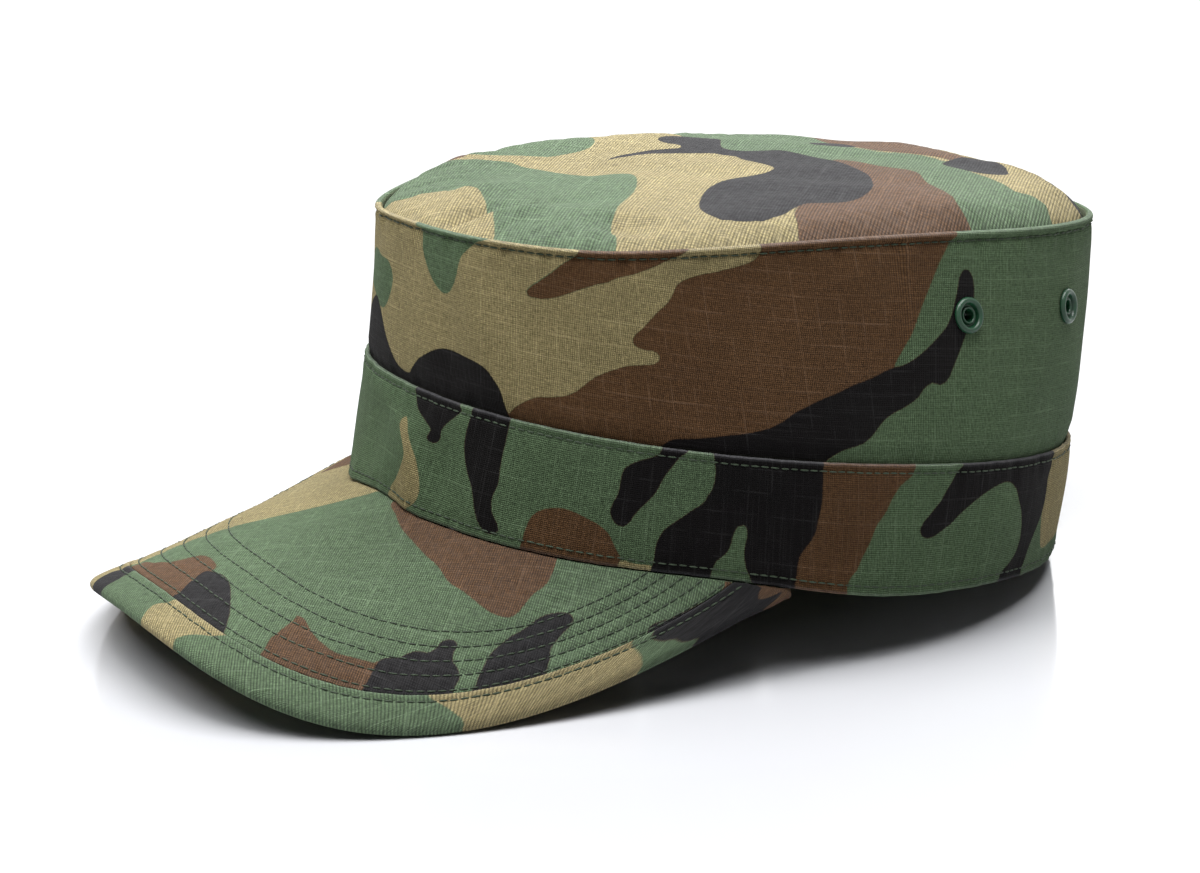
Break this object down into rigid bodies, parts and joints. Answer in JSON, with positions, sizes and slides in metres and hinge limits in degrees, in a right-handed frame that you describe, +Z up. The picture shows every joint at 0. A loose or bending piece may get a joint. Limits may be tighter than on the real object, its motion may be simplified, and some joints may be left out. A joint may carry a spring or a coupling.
{
  "type": "cloth field cap with peak",
  "caption": "Flat-topped cloth field cap with an oval crown, a doubled band, a bound peak and ventilation eyelets, in woodland camouflage.",
  "frame": {"origin": "middle of the cap's bounding box, on the surface that it stands on", "axes": "+Z up, the peak points to -Y, the wearer's left is +X"},
  "size_m": [0.181, 0.2898, 0.1131],
  "materials": {
    "woodland_cloth": "matt ripstop cotton, woodland camouflage print of mid green, khaki, brown and near black",
    "sewing_thread": "dark green spun thread, slight sheen",
    "eyelet_paint": "glossy dark green paint on pressed metal"
  },
  "bodies": {
    "root": {"crown_top": "woodland_cloth", "crown_side": "woodland_cloth", "band": "woodland_cloth", "visor": "woodland_cloth", "visor_binding": "woodland_cloth", "eyelet_left_front": "eyelet_paint", "eyelet_left_rear": "eyelet_paint", "eyelet_right_front": "eyelet_paint", "eyelet_right_rear": "eyelet_paint"}
  },
  "joints": []
}
